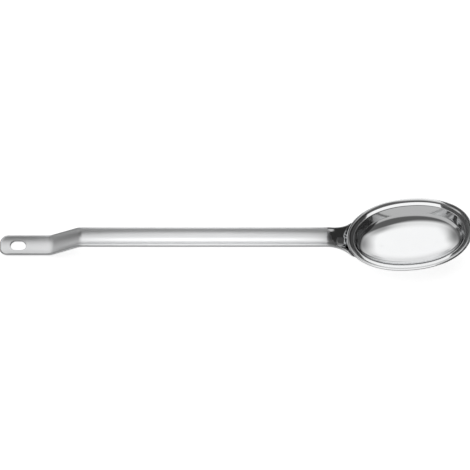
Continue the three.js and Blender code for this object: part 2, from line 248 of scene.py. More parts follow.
def in_millimetres(group):
    """The sizes of a property group, lengths in millimetres."""
    sizes = SimpleNamespace()
    for name in type(group).__annotations__:
        value = getattr(group, name)
        setattr(sizes, name, value if name in NOT_LENGTHS else value / MM)
    return sizes


def between(low, high, part):
    return low + (high - low) * part


def soft_ramp(x, start, end, ease):
    """A ramp from 0 to 1 with a straight middle and parabolic ends of the length ease."""
    run = end - start
    gone = min(max(x - start, 0.0), run)
    slope = 1.0 / (run - ease)
    if gone < ease:
        return slope * gone * gone / (2 * ease)
    if gone > run - ease:
        return 1.0 - slope * (run - gone) ** 2 / (2 * ease)
    return slope * (gone - ease / 2)


def rounded_line(corners):
    """Points of a line whose corners are rounded, each with its unit normal.

    A corner is given by its place across, its height, its radius and its steps. Its rounding is a quadratic
    curve between the places where an arc of that radius would start and end.
    """
    points = [Vector(corner[:2]) for corner in corners]
    line = [(points[0], (points[1] - points[0]).normalized())]
    for i in range(1, len(points) - 1):
        radius, steps = corners[i][2:]
        back = (points[i - 1] - points[i]).normalized()
        ahead = (points[i + 1] - points[i]).normalized()
        cut = radius / math.tan(back.angle(ahead) / 2)
        for k in range(steps + 1):
            way = k / steps
            point = points[i] + back * (cut * (1 - way) ** 2) + ahead * (cut * way ** 2)
            line.append((point, (ahead * way - back * (1 - way)).normalized()))
    line.append((points[-1], (points[-1] - points[-2]).normalized()))
    return [(point, Vector((-along.y, along.x))) for point, along in line]


def beside(line, distance):
    return [point + normal * distance for point, normal in line]


class Spoon:
    """The spoon's shape in millimetres, worked out from the size properties."""

    def __init__(self, scene):
        self.bowl = in_millimetres(scene.spoon_bowl)
        self.handle = in_millimetres(scene.spoon_handle)
        self.weld = in_millimetres(scene.spoon_weld)
        bowl, handle = self.bowl, self.handle
        self.half_length = bowl.rim_length / 2
        self.half_width = bowl.rim_width / 2
        handle_run = handle.tab_length + handle.joggle_run + handle.shaft_length + handle.neck_length
        self.tab_end = -(handle_run + bowl.rim_length * math.cos(bowl.tilt)) / 2
        self.strip_start = self.tab_end + handle.slot_margin + handle.slot_length + handle.slot_margin
        self.joggle_start = self.tab_end + handle.tab_length
        self.shaft_start = self.joggle_start + handle.joggle_run
        self.neck_start = self.shaft_start + handle.shaft_length
        self.rim_start = self.neck_start + handle.neck_length
        self.flare_start = self.neck_start + handle.neck_straight
        self.flare_end = self.rim_start + handle.flare_reach
        self.fall_end = self.neck_start + handle.fall_run
        self.fold_end = self.neck_start + handle.fold_run
        self.foot_end = self.rim_start + handle.foot_reach
        self.lay_out_bowl()
        self.tab_level = handle.sheet / 2 + handle.tab_trough
        self.shaft_level = self.rim_level + handle.lip_over_rim - handle.sheet / 2
        self.foot_level = self.rim_level - handle.foot_lip_under_rim - handle.sheet / 2

    def lay_out_bowl(self):
        """The line through the middle of the bowl's sheet, and where the tilted bowl stands."""
        bowl = self.bowl
        lip_level = -bowl.sheet / 2
        step_level = lip_level - bowl.lip_drop
        shelf_level = step_level - bowl.step_drop
        self.brow_level = shelf_level - bowl.shelf_drop
        floor_level = -bowl.depth - bowl.sheet / 2
        shelf_start = bowl.lip_width + bowl.step_run
        self.wall_start = shelf_start + bowl.shelf_width
        dish_foot = (bowl.rim_width - bowl.floor_width) / 2
        slope = math.atan2(-bowl.knee_drop - floor_level, dish_foot - bowl.knee_inset)
        floor_edge = dish_foot + bowl.floor_radius * math.tan(slope / 2)
        wall = [
            (self.wall_start, self.brow_level, bowl.brow_radius, BROW_STEPS),
            (bowl.knee_inset, -bowl.knee_drop, bowl.knee_radius, KNEE_STEPS),
            (dish_foot, floor_level, bowl.floor_radius, FLOOR_STEPS),
            (floor_edge + bowl.sheet, floor_level, 0.0, 0),
        ]
        self.bowl_line = rounded_line([
            (bowl.sheet / 2, lip_level, 0.0, 0),
            (bowl.lip_width, step_level, bowl.step_radius, STEP_STEPS),
            (shelf_start, shelf_level, bowl.step_radius, STEP_STEPS),
            *wall,
        ])
        cosine, sine = math.cos(bowl.tilt), math.sin(bowl.tilt)
        underside = beside(self.bowl_line, -bowl.sheet / 2)
        lowest = min(
            p.y * cosine - (self.half_length - p.x + self.end_stretch(False, p.y)) * sine
            for p in underside)
        self.bowl_place = Matrix.Rotation(-bowl.tilt, 4, "Y")
        self.bowl_place.translation = (self.rim_start + self.half_length * cosine, 0.0, -lowest)
        self.bowl_place_back = self.bowl_place.inverted()
        self.rim_level = -lowest - self.half_length * sine
        clearance = self.weld.clearance
        shelf_rise = bowl.shelf_drop / bowl.shelf_width * (shelf_start + clearance)
        shelf = (-clearance, shelf_level + shelf_rise, 0.0, 0)
        self.bowl_reach = beside(rounded_line([shelf, *wall]), -bowl.sheet / 2 - clearance)

    def end_stretch(self, ahead, height):
        """How far the oval at a height is drawn out toward one end."""
        part = (self.brow_level - height) / (self.brow_level + self.bowl.knee_drop)
        return min(max(part, 0.0), 1.0) * (self.bowl.tip_stretch if ahead else self.bowl.rear_stretch)

    def oval_point(self, turn, inset, height):
        """A point on the oval that lies inset from the rim's edge, placed in the spoon."""
        cosine, sine = math.cos(turn), math.sin(turn)
        power = 2 / (self.bowl.tip_fullness if cosine > 0 else self.bowl.rear_fullness)
        along = math.copysign(abs(cosine) ** power, cosine)
        across = math.copysign(abs(sine) ** power, sine)
        half_length = self.half_length - inset + self.end_stretch(cosine > 0, height)
        return self.bowl_place @ Vector((half_length * along, (self.half_width - inset) * across, height))

    def inset_at(self, spot):
        """How far a point in the bowl's own frame lies inside the rim's outline."""
        power = self.bowl.tip_fullness if spot.x > 0 else self.bowl.rear_fullness
        half_length = self.half_length + self.end_stretch(spot.x > 0, spot.z)
        low, high = -SEARCH_OUTSIDE, self.half_width - SEARCH_MARGIN
        for _ in range(SEARCH_HALVINGS):
            middle = (low + high) / 2
            along = abs(spot.x) / (half_length - middle)
            across = abs(spot.y) / (self.half_width - middle)
            if along ** power + across ** power > 1.0:
                high = middle
            else:
                low = middle
        return low

    def reach_at(self, inset):
        """Height of the bowl's underside with its clearance, or None outside the rim."""
        reach = self.bowl_reach
        if inset < reach[0].x:
            return None
        for before, after in zip(reach, reach[1:]):
            if inset <= after.x:
                return between(before.y, after.y, (inset - before.x) / (after.x - before.x))
        return reach[-1].y

    def in_wall(self, point):
        """Whether a point of the foot has come to the bowl's wall."""
        spot = self.bowl_place_back @ point
        inset = self.inset_at(spot)
        return inset > self.wall_start and spot.z > self.reach_at(inset)

    def under_bowl(self, point):
        """The point, pressed down where it would stand in the bowl."""
        spot = self.bowl_place_back @ point
        level = self.reach_at(self.inset_at(spot))
        if level is None or spot.z <= level:
            return point
        spot.z = level
        return self.bowl_place @ spot

    def joggle_share(self, x):
        return soft_ramp(x, self.joggle_start, self.shaft_start, self.handle.joggle_ease)

    def neck_share(self, x):
        return soft_ramp(x, self.neck_start, self.fall_end, self.handle.fall_ease)

    def fold_share(self, x):
        return soft_ramp(x, self.neck_start, self.fold_end, self.handle.fold_ease)

    def lip_level(self, x):
        rise = (self.shaft_level - self.tab_level) * self.joggle_share(x)
        fall = (self.shaft_level - self.foot_level) * self.neck_share(x)
        return self.tab_level + rise - fall

    def trough(self, x):
        handle = self.handle
        deepen = (handle.shaft_trough - handle.tab_trough) * self.joggle_share(x)
        return handle.tab_trough + deepen + (handle.foot_trough - handle.shaft_trough) * self.fold_share(x)

    def rim_half_width(self, x):
        """Half the width of the rim's outline seen from above, toward the handle."""
        power = self.bowl.rear_fullness
        reach = (self.bowl_place.translation.x - x) / (self.half_length * math.cos(self.bowl.tilt))
        return self.half_width * (1 - reach ** power) ** (1 / power)

    def half_channel(self, x):
        """Half the width between the middles of the two lips."""
        handle = self.handle
        tab_half = (handle.tab_width - handle.sheet) / 2
        shaft_half = (handle.shaft_width - handle.sheet) / 2
        along = max(min(x, self.flare_end) - self.flare_start, 0.0)
        flare = handle.flare_radius - math.sqrt(handle.flare_radius ** 2 - along ** 2)
        spread = self.rim_half_width(max(x, self.flare_end)) - self.rim_half_width(self.flare_end)
        return between(tab_half, shaft_half, self.joggle_share(x)) + flare + handle.foot_follow * spread

    def sheet_height(self, x, y):
        """Height of the middle of the sheet over its lips.

        Its section is an arc, which turns to a flat floor with sloped sides at the foot.
        """
        handle = self.handle
        half = self.half_channel(x)
        trough = self.trough(x)
        radius = (half ** 2 + trough ** 2) / (2 * trough)
        arc = radius - trough - math.sqrt(max(radius ** 2 - y ** 2, 0.0))
        past = abs(y) - handle.foot_floor / 2
        rise = (past + math.sqrt(past ** 2 + handle.foot_crease ** 2)) / 2
        slopes = trough * (rise / (half - handle.foot_floor / 2) - 1)
        return between(arc, slopes, self.fold_share(x))

    def sheet_point(self, x, y, out, rise):
        """A point beside the middle of the sheet: out across the strip, rise off its upper side."""
        probe = SHEET_PROBE
        height = self.sheet_height(x, y)
        lean = (self.sheet_height(x, y + probe) - self.sheet_height(x, y - probe)) / (2 * probe)
        tilt = math.atan((self.lip_level(x + probe) - self.lip_level(x - probe)) / (2 * probe))
        across = Vector((1.0, lean)).normalized()
        side = y + out * across.x - rise * across.y
        up = height + out * across.y + rise * across.x
        return Vector((x - up * math.sin(tilt), side, self.lip_level(x) + up * math.cos(tilt)))

    def strip_point(self, x, part, rise):
        """A point off the middle of the sheet, at a part of half the strip's width."""
        return self.sheet_point(x, part * self.half_channel(x), 0.0, rise)

    def seam_point(self, turn):
        """The corner where the foot's lower side meets the bowl's wall, with the wall's way down."""
        wall = [self.oval_point(turn, p.x, p.y) for p in self.bowl_reach]
        gap = self.handle.sheet / 2 + self.weld.clearance

        def over_foot(p):
            return p.z - self.lip_level(p.x) - self.sheet_height(p.x, p.y) + gap

        for before, after in zip(wall, wall[1:]):
            if over_foot(after) < 0:
                part = over_foot(before) / (over_foot(before) - over_foot(after))
                return before.lerp(after, part), (after - before).normalized()
        raise RuntimeError("the foot doesn't meet the bowl's wall")


class Sheetwork:
    """A mesh under way, in millimetres, whose points are shared where they meet."""

    def __init__(self):
        self.mesh = bmesh.new()
        self.points = {}

    def point(self, place):
        key = tuple(round(value, POINT_DIGITS) for value in place)
        if key not in self.points:
            self.points[key] = self.mesh.verts.new(Vector(place) * MM)
        return self.points[key]

    def face(self, corners):
        """A face over the corners that differ, left out where fewer than three do."""
        kept = [corner for i, corner in enumerate(corners) if corner is not corners[i - 1]]
        if len(set(kept)) == len(kept) > 2 and self.mesh.faces.get(kept) is None:
            self.mesh.faces.new(kept)

    def grid(self, rows, closed=False):
        """Four-sided faces between rows of points, each row joined to its start where closed."""
        rows = [[self.point(place) for place in row] for row in rows]
        for row, after in zip(rows, rows[1:]):
            last = len(row) if closed else len(row) - 1
            for i in range(last):
                k = (i + 1) % len(row)
                self.face([row[i], row[k], after[k], after[i]])

    def ladder(self, ring):
        """Rungs across a flat ring whose halves mirror each other."""
        ring = [self.point(place) for place in ring]
        size = len(ring)
        for i in range(size // 2):
            self.face([ring[i], ring[i + 1], ring[size - i - 1], ring[-i]])

    def finish(self, name, node, slot, material):
        """The piece as an object that rides on the spoon in place of its solid."""
        bmesh.ops.recalc_face_normals(self.mesh, faces=self.mesh.faces)
        loose = [edge for edge in self.mesh.edges if not edge.is_manifold]
        if loose:
            raise RuntimeError(f"{name} isn't closed: {len(loose)} open edges")
        mesh = bpy.data.meshes.new(name)
        self.mesh.to_mesh(mesh)
        self.mesh.free()
        mesh.shade_smooth()
        mesh.materials.append(material)
        piece = bpy.data.objects.new(name, mesh)
        bpy.context.scene.collection.objects.link(piece)
        weighted = piece.modifiers.new("even shading", "WEIGHTED_NORMAL")
        weighted.keep_sharp = False
        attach(piece, BODY)
        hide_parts(node)


# Values that a noise node mostly stays between
NOISE_SPAN = (0.3, 0.7)

# Sockets of a colour mix: its share, its two colours and its result
MIX_PART, MIX_FIRST, MIX_SECOND, MIX_RESULT = 0, 6, 7, 2


class Finish:
    """A node material under way, or the room's light."""

    def __init__(self, name, tree_owner=None):
        self.material = tree_owner or bpy.data.materials.new(name)
        self.material.use_nodes = True
        self.nodes = self.material.node_tree.nodes
        self.links = self.material.node_tree.links

    def shader(self):
        return self.nodes["Principled BSDF"].inputs

    def node(self, kind, values=None, **settings):
        made = self.nodes.new(kind)
        for name, value in settings.items():
            setattr(made, name, value)
        for socket, value in (values or {}).items():
            if isinstance(value, bpy.types.NodeSocket):
                self.links.new(value, made.inputs[socket])
            else:
                made.inputs[socket].default_value = value
        return made

    def place(self, scale=(1.0, 1.0, 1.0)):
        """The point on the piece, in metres, stretched by the scale."""
        spot = self.node("ShaderNodeTexCoord").outputs["Object"]
        return self.node("ShaderNodeMapping", {"Vector": spot, "Scale": scale}).outputs["Vector"]

    def grain(self, scale, detail=3.0, stretch=(1.0, 1.0, 1.0), roughness=0.55):
        """Noise whose grains are about one over the scale metres wide."""
        return self.node("ShaderNodeTexNoise", {
            "Vector": self.place(stretch), "Scale": scale, "Detail": detail, "Roughness": roughness,
        }).outputs["Fac"]

    def ramp(self, value, low, high, first, last, smooth=True):
        """The value between low and high, turned to a number between first and last."""
        return self.node("ShaderNodeMapRange", {
            "Value": value, "From Min": low, "From Max": high, "To Min": first, "To Max": last,
        }, interpolation_type="SMOOTHSTEP" if smooth else "LINEAR").outputs["Result"]

    def calc(self, kind, first, second):
        """The result of one step of arithmetic."""
        return self.node("ShaderNodeMath", {0: first, 1: second}, operation=kind).outputs["Value"]

    def blend(self, part, first, second):
        """A colour between two colours."""
        values = {MIX_PART: part, MIX_FIRST: first, MIX_SECOND: second}
        return self.node("ShaderNodeMix", values, data_type="RGBA").outputs[MIX_RESULT]

    def vary(self, part, tone, shares):
        """A colour whose brightness goes from one share of it to another."""
        return self.blend(part, *(shade(tone, each) for each in shares))

    def uneven(self, part, value, shares, span=NOISE_SPAN):
        """A number that the grain changes from one share of it to another."""
        return self.ramp(part, *span, *(value * each for each in shares))

    def bump(self, grain, strength, height, under=None):
        """The grain as a relief of a height in millimetres."""
        values = {"Height": grain, "Strength": strength, "Distance": height * MM}
        if under is not None:
            values["Normal"] = under
        return self.node("ShaderNodeBump", values).outputs["Normal"]

    def set_value(self, socket, value):
        """One value for the whole surface."""
        self.shader()[socket].default_value = value

    def join(self, output, socket):
        self.links.new(output, self.shader()[socket])


def shade(tone, part=1.0):
    """A colour with its brightness changed, with full opacity."""
    return (*(min(value * part, 1.0) for value in tone), 1.0)


# Polished sheet: clouds in its tone, wipe marks in its gloss, waves in its face, heights in millimetres
CLOUD_GRAINS = 45.0
CLOUD_TONES = (0.97, 1.03)
WIPE_STRETCH = (260.0, 1500.0, 1500.0)
WIPE_DETAIL = 4.0
WIPE_GLOSS = (0.8, 1.3)
WIPE_HEIGHT = 0.004
WAVE_GRAINS = 95.0
WAVE_DETAIL = 1.0
WAVE_HEIGHT = 0.12
POLISH_RELIEF = 0.05


def polished_steel(finish):
    """Mirror-polished sheet with a faint drawn waviness and fine wipe marks."""
    steel = Finish("polished_steel")
    steel.set_value("Metallic", 1.0)
    cloud = steel.grain(CLOUD_GRAINS)
    steel.join(steel.vary(cloud, finish.polished, CLOUD_TONES), "Base Color")
    wipe = steel.grain(1.0, WIPE_DETAIL, WIPE_STRETCH)
    steel.join(steel.uneven(wipe, finish.polished_roughness, WIPE_GLOSS), "Roughness")
    waves = steel.bump(steel.grain(WAVE_GRAINS, WAVE_DETAIL), POLISH_RELIEF, WAVE_HEIGHT)
    steel.join(steel.bump(wipe, POLISH_RELIEF, WIPE_HEIGHT, waves), "Normal")
    return steel.material


# Edge of the neck's polish: its lean across the strip and, in millimetres, how far past the shaft it lies,
# where it fades and how far it wanders
POLISH_LEAN = 0.526
POLISH_SHIFT = 5.05
POLISH_FADE = (-0.6, 1.4)
POLISH_WANDER = 0.6
WANDER_GRAINS = 420.0
WANDER_DETAIL = 2.0

# Brushed sheet: brush lines in its tone, gloss and face, heights in millimetres
BRUSH_STRETCH = (55.0, 4200.0, 4200.0)
BRUSH_DETAIL = 5.0
BRUSH_ROUGHNESS = 0.62
BRUSH_TONES = (0.93, 1.06)
BRUSH_SPAN = (0.25, 0.75)
BRUSH_GLOSS = (0.85, 1.15)
BRUSH_RELIEF = 0.25
BRUSH_HEIGHT = 0.01
NECK_GLOSS = (0.9, 1.3)


def satin_steel(finish, spoon):
    """Sheet brushed along the handle, polished from the neck on."""
    steel = Finish("satin_steel")
    steel.set_value("Metallic", 1.0)
    spot = steel.node("ShaderNodeSeparateXYZ", {"Vector": steel.place()}).outputs
    along = steel.calc("ADD", spot["X"], steel.calc("MULTIPLY", spot["Y"], POLISH_LEAN))
    wander = steel.uneven(steel.grain(WANDER_GRAINS, WANDER_DETAIL), POLISH_WANDER * MM, (-1.0, 1.0))
    edge = spoon.neck_start + POLISH_SHIFT
    fade = ((edge + shift) * MM for shift in POLISH_FADE)
    polish = steel.ramp(steel.calc("ADD", along, wander), *fade, 0.0, 1.0)
    lines = steel.grain(1.0, BRUSH_DETAIL, BRUSH_STRETCH, BRUSH_ROUGHNESS)
    brushed_tone = steel.vary(lines, finish.satin, BRUSH_TONES)
    cloud = steel.grain(CLOUD_GRAINS)
    polished_tone = steel.vary(cloud, finish.polished, CLOUD_TONES)
    steel.join(steel.blend(polish, brushed_tone, polished_tone), "Base Color")
    brushed = steel.uneven(lines, finish.satin_roughness, BRUSH_GLOSS, BRUSH_SPAN)
    smooth = steel.uneven(cloud, finish.polished_roughness, NECK_GLOSS)
    keep = steel.calc("SUBTRACT", 1.0, polish)
    rough_share = steel.calc("MULTIPLY", brushed, keep)
    steel.join(steel.calc("ADD", rough_share, steel.calc("MULTIPLY", smooth, polish)), "Roughness")
    steel.join(steel.bump(steel.calc("MULTIPLY", lines, keep), BRUSH_RELIEF, BRUSH_HEIGHT), "Normal")
    return steel.material


# Weld bead: heat tint in its tone and gloss, pits in its face, heights in millimetres
TINT_GRAINS = 900.0
WELD_ROUGHNESS = (0.3, 0.55)
PIT_GRAINS = 5200.0
PIT_DETAIL = 2.0
PIT_RELIEF = 0.3
PIT_HEIGHT = 0.03


def weld_steel(finish):
    """Bare bead with a heat tint and a dull, slightly pitted skin."""
    steel = Finish("weld_steel")
    steel.set_value("Metallic", 1.0)
    tint = steel.grain(TINT_GRAINS)
    steel.join(steel.blend(tint, shade(finish.weld_tint), shade(finish.weld)), "Base Color")
    steel.join(steel.ramp(tint, *NOISE_SPAN, *WELD_ROUGHNESS), "Roughness")
    steel.join(steel.bump(steel.grain(PIT_GRAINS, PIT_DETAIL), PIT_RELIEF, PIT_HEIGHT), "Normal")
    return steel.material


# Floor: slow clouds in its tone and gloss
SWEEP_GRAINS = 6.0
SWEEP_TONES = (0.99, 1.01)
SWEEP_ROUGHNESS = (0.8, 0.9)
SWEEP_SPECULAR = 0.1


def pale_floor(studio):
    """Pale matt sweep with a hardly visible unevenness, lit from within."""
    sweep = Finish("pale_floor")
    cloud = sweep.grain(SWEEP_GRAINS)
    tone = sweep.vary(cloud, studio.floor_colour, SWEEP_TONES)
    sweep.join(tone, "Base Color")
    sweep.join(tone, "Emission Color")
    sweep.set_value("Emission Strength", studio.floor_glow)
    sweep.join(sweep.ramp(cloud, *NOISE_SPAN, *SWEEP_ROUGHNESS), "Roughness")
    sweep.set_value("Specular IOR Level", SWEEP_SPECULAR)
    return sweep.material


# Cloth of the flags: a weave in its tone and gloss
WEAVE_GRAINS = 900.0
WEAVE_TONES = (0.5, 1.5)
WEAVE_ROUGHNESS = (0.85, 1.0)


def flag_cloth(name, tone):
    """Dark cloth with a fine weave and no shine."""
    cloth = Finish(name)
    weave = cloth.grain(WEAVE_GRAINS)
    cloth.join(cloth.vary(weave, (tone, tone, tone), WEAVE_TONES), "Base Color")
    cloth.join(cloth.ramp(weave, *NOISE_SPAN, *WEAVE_ROUGHNESS), "Roughness")
    cloth.set_value("Specular IOR Level", 0.0)
    return cloth.material


class SPOON_OT_make_bowl(bpy.types.Operator):
    """Press the bowl: lip, step, shelf, wall and dished floor, all from one sheet"""

    bl_idname = "spoon.make_bowl"
    bl_label = "Make bowl"

    def execute(self, context):
        spoon = Spoon(context.scene)
        half = spoon.bowl.sheet / 2
        inside = beside(spoon.bowl_line, half)
        outside = beside(spoon.bowl_line, -half)
        middle, normal = spoon.bowl_line[0]
        under = 2 * math.pi - math.atan2(normal.y, -normal.x)
        edge = []
        for i in range(EDGE_STEPS):
            turn = between(math.pi / 2, under, i / EDGE_STEPS)
            rise = math.sin(turn) * (LIP_DRESSING if turn < math.pi else 1.0)
            edge.append(middle + Vector((math.cos(turn), rise)) * half)
        rows = []
        for ring in [*reversed(inside), *edge, *outside]:
            turns = (2 * math.pi * i / OVAL_STEPS for i in range(OVAL_STEPS))
            rows.append([spoon.oval_point(turn, ring.x, ring.y) for turn in turns])
        work = Sheetwork()
        work.grid(rows, closed=True)
        work.ladder(rows[0])
        work.ladder(rows[-1])
        material = polished_steel(context.scene.spoon_finish)
        work.finish("bowl_pressing", "bowl", "polished_steel", material)
        return {"FINISHED"}


def lip_row(spoon, x, y, out_x, out_y):
    """Points round the edge of the sheet, from its upper side to its lower, for a given way outward."""
    half_sheet = spoon.handle.sheet / 2
    row = []
    for i in range(EDGE_STEPS + 1):
        turn = math.pi / 2 - math.pi * i / EDGE_STEPS
        reach = half_sheet * math.cos(turn)
        row.append(spoon.sheet_point(x + out_x * reach, y, out_y * reach, half_sheet * math.sin(turn)))
    return row


def tab_border(spoon):
    """Plan of the tab's border from one side of the strip to the other: points and their way outward."""
    handle = spoon.handle
    half = spoon.half_channel(spoon.tab_end)
    radius = handle.tab_corner - handle.sheet / 2
    corner_x = spoon.tab_end + handle.tab_corner
    corner_y = half - radius
    end_x = corner_x - radius
    border = []

    def side(start, end, out, steps):
        for i in range(steps):
            border.append((Vector(start).lerp(Vector(end), i / steps), Vector(out)))

    def corner(y, start):
        for i in range(TAB_CORNER_STEPS):
            turn = start + math.pi / 2 * i / TAB_CORNER_STEPS
            out = Vector((math.cos(turn), math.sin(turn)))
            border.append((Vector((corner_x, y)) + out * radius, out))

    side((spoon.strip_start, half), (corner_x, half), (0.0, 1.0), TAB_SIDE_STEPS)
    corner(corner_y, math.pi / 2)
    side((end_x, corner_y), (end_x, -corner_y), (-1.0, 0.0), TAB_END_STEPS)
    corner(-corner_y, math.pi)
    side((corner_x, -half), (spoon.strip_start, -half), (0.0, -1.0), TAB_SIDE_STEPS)
    border.append((Vector((spoon.strip_start, -half)), Vector((0.0, -1.0))))
    return border


def slot_section(handle):
    """Section of the slot's wall with its two rounded edges: how far it stands in, and its height."""
    half_sheet = handle.sheet / 2
    edge = []
    for i in range(SLOT_EDGE_STEPS + 1):
        turn = math.pi / 2 * i / SLOT_EDGE_STEPS
        rise = half_sheet - handle.slot_edge * (1 - math.cos(turn))
        edge.append((handle.slot_edge * math.sin(turn), rise))
    return edge + [(reach, -rise) for reach, rise in reversed(edge)]


def make_tab(work, spoon):
    """The hang tab as rings round its slot, out to a round border."""
    handle = spoon.handle
    half_sheet = handle.sheet / 2
    slot_radius = handle.slot_width / 2
    near_end = spoon.tab_end + handle.slot_margin + slot_radius
    far_end = near_end + handle.slot_length - handle.slot_width
    border = tab_border(spoon)
    half = spoon.half_channel(spoon.strip_start)
    joint = []
    for i in range(1, SECTION_STEPS):
        joint.append(Vector((spoon.strip_start, half * (2 * i / SECTION_STEPS - 1))))
    section = slot_section(handle)
    upper, lower, wall = [], [], []
    for place in [place for place, _ in border] + joint:
        core = Vector((min(max(place.x, near_end), far_end), 0.0))
        out = (place - core).normalized()
        brink = core + out * (slot_radius + handle.slot_edge)
        spots = [brink.lerp(place, k / SLOT_RINGS) for k in range(SLOT_RINGS + 1)]
        upper.append([spoon.sheet_point(p.x, p.y, 0.0, half_sheet) for p in spots])
        lower.append([spoon.sheet_point(p.x, p.y, 0.0, -half_sheet) for p in spots])
        wall.append([
            spoon.sheet_point(brink.x - out.x * reach, brink.y, -out.y * reach, rise)
            for reach, rise in section])
    for rows in (upper, lower, wall):
        work.grid([*rows, rows[0]])
    work.grid([lip_row(spoon, place.x, place.y, out.x, out.y) for place, out in border])


def strip_stations(spoon):
    """Places along the strip, closer where it bends or flares."""
    ease = spoon.handle.joggle_ease
    stations = [spoon.strip_start]
    for start in (spoon.joggle_start, spoon.shaft_start - ease):
        stations += [start + ease * i / BEND_STEPS for i in range(BEND_STEPS + 1)]
    for i in range(1, SHAFT_STEPS):
        stations.append(between(spoon.shaft_start, spoon.neck_start, i / SHAFT_STEPS))
    for i in range(NECK_STEPS + 1):
        stations.append(between(spoon.neck_start, spoon.rim_start, i / NECK_STEPS))
    return stations


def foot_stop(spoon, part, rise):
    """Where one line of the foot comes to the bowl's wall, or the foot's end."""
    for i in range(STOP_STEPS + 1):
        x = between(spoon.rim_start, spoon.foot_end, i / STOP_STEPS)
        if spoon.in_wall(spoon.strip_point(x, part, rise)):
            return x
    return spoon.foot_end


def make_strip(work, spoon):
    """The strip from the tab to the foot, closed where it ends at the bowl."""
    half_sheet = spoon.handle.sheet / 2
    parts = [2 * i / SECTION_STEPS - 1 for i in range(SECTION_STEPS + 1)]
    stations = strip_stations(spoon)
    foot_shares = [k / FOOT_STEPS for k in range(1, FOOT_STEPS + 1)]
    ends = []
    for rise in (half_sheet, -half_sheet):
        stops = [foot_stop(spoon, part, rise) for part in parts]
        rows = [[spoon.strip_point(x, part, rise) for part in parts] for x in stations]
        for foot_share in foot_shares:
            row = []
            for part, stop in zip(parts, stops):
                x = between(spoon.rim_start, stop, foot_share)
                row.append(spoon.under_bowl(spoon.strip_point(x, part, rise)))
            rows.append(row)
        work.grid(rows)
        ends.append(rows[-1])
    work.grid(ends)
    foot_stations = [between(spoon.rim_start, spoon.foot_end, foot_share) for foot_share in foot_shares]
    for part in (-1.0, 1.0):
        lips = []
        for x in stations + foot_stations:
            row = lip_row(spoon, x, part * spoon.half_channel(x), 0.0, part)
            lips.append([spoon.under_bowl(place) for place in row])
        work.grid(lips)
        work.face([work.point(place) for place in lips[-1]])


class SPOON_OT_make_handle(bpy.types.Operator):
    """Press the handle: slotted tab, double bend, channel shaft, neck and foot, all from one strip"""

    bl_idname = "spoon.make_handle"
    bl_label = "Make handle"

    def execute(self, context):
        spoon = Spoon(context.scene)
        work = Sheetwork()
        make_tab(work, spoon)
        make_strip(work, spoon)
        material = satin_steel(context.scene.spoon_finish, spoon)
        work.finish("handle_pressing", "handle", "satin_steel", material)
        return {"FINISHED"}


class SPOON_OT_make_welds(bpy.types.Operator):
    """Lay three rippled stitch welds in the corner between the foot and the bowl's wall"""

    bl_idname = "spoon.make_welds"
    bl_label = "Make welds"

    def execute(self, context):
        spoon = Spoon(context.scene)
        weld = spoon.weld
        reach = weld.spacing + weld.bead_length / 2 + weld.clearance
        spread = math.asin(reach / (spoon.half_width - spoon.wall_start))
        seam = []
        for i in range(-SEAM_STEPS, SEAM_STEPS + 1):
            seam.append(spoon.seam_point(math.pi - spread * i / SEAM_STEPS))
        gone = [0.0]
        for (before, _), (after, _) in zip(seam, seam[1:]):
            gone.append(gone[-1] + (after - before).length)
        material = weld_steel(context.scene.spoon_finish)
        for name, offset in (("left", weld.spacing), ("middle", 0.0), ("right", -weld.spacing)):
            work = self.lay_bead(spoon, seam, gone, offset)
            work.finish(f"weld_bead_{name}", f"weld_{name}", "weld_steel", material)
        return {"FINISHED"}

    def lay_bead(self, spoon, seam, gone, offset):
        """One stitch: a quarter-round bead from the wall to the foot, tapered at both ends."""
        weld = spoon.weld
        rows = []
        for i in range(BEAD_STEPS + 1):
            share_along = 2 * i / BEAD_STEPS - 1
            along = offset + weld.bead_length / 2 * share_along
            spot = gone[-1] / 2 + along
            k = max(j for j in range(len(gone) - 1) if gone[j] <= spot)
            part = (spot - gone[k]) / (gone[k + 1] - gone[k])
            corner = seam[k][0].lerp(seam[k + 1][0], part)
            down = seam[k][1].lerp(seam[k + 1][1], part).normalized()
            way = (seam[k + 1][0] - seam[k][0]).normalized()
            back = self.along_foot(spoon, corner, way)
            ripple = weld.ripple * math.cos(2 * math.pi * along / weld.ripple_pitch)
            taper = math.sqrt(max(1 - share_along ** BEAD_TAPER, 0.0))
            size = (weld.radius - weld.ripple + ripple) * taper
            row = [corner]
            for j in range(BEAD_SECTION_STEPS + 1):
                row.append(corner + down.slerp(back, j / BEAD_SECTION_STEPS) * size)
            rows.append(row)
        work = Sheetwork()
        work.grid(rows, closed=True)
        return work

    def along_foot(self, spoon, corner, way):
        """The way from the seam back along the foot's lower side."""
        probe = FOOT_PROBE
        slope = spoon.sheet_height(corner.x - probe, corner.y) + spoon.lip_level(corner.x - probe)
        slope -= spoon.sheet_height(corner.x, corner.y) + spoon.lip_level(corner.x)
        back = Vector((-probe, 0.0, slope))
        return (back - way * back.dot(way)).normalized()


# How the room's light changes with direction: where a fade starts and ends, and its two values
SOFTBOX_FRONT_EDGE = (-0.25, 0.0, -0.6, -0.34)
SOFTBOX_FULL_FROM = -0.08
SOFTBOX_RIGHT_FADE = (0.0, 0.62, 1.0, 0.0)
SOFTBOX_LEFT_FADE = (-0.85, -0.35, 0.12, 1.0)
SOFTBOX_LOW_FADE = (-0.1, 0.55, 0.45, 1.0)
CARD_BACK_FADE = (-0.3, -0.1)
CARD_RIGHT_FADE = (0.37, 0.43, 1.0, 0.0)
CARD_TOP_FADE = (0.4, 0.55, 1.0, 0.18)
WHITE = (1.0, 1.0, 1.0, 1.0)


def flat_sheet(name, segments, side, material):
    """A flat square for the stage."""
    work = bmesh.new()
    bmesh.ops.create_grid(work, x_segments=segments, y_segments=segments, size=side / 2)
    mesh = bpy.data.meshes.new(name)
    work.to_mesh(mesh)
    work.free()
    mesh.materials.append(material)
    return bpy.data.objects.new(name, mesh)


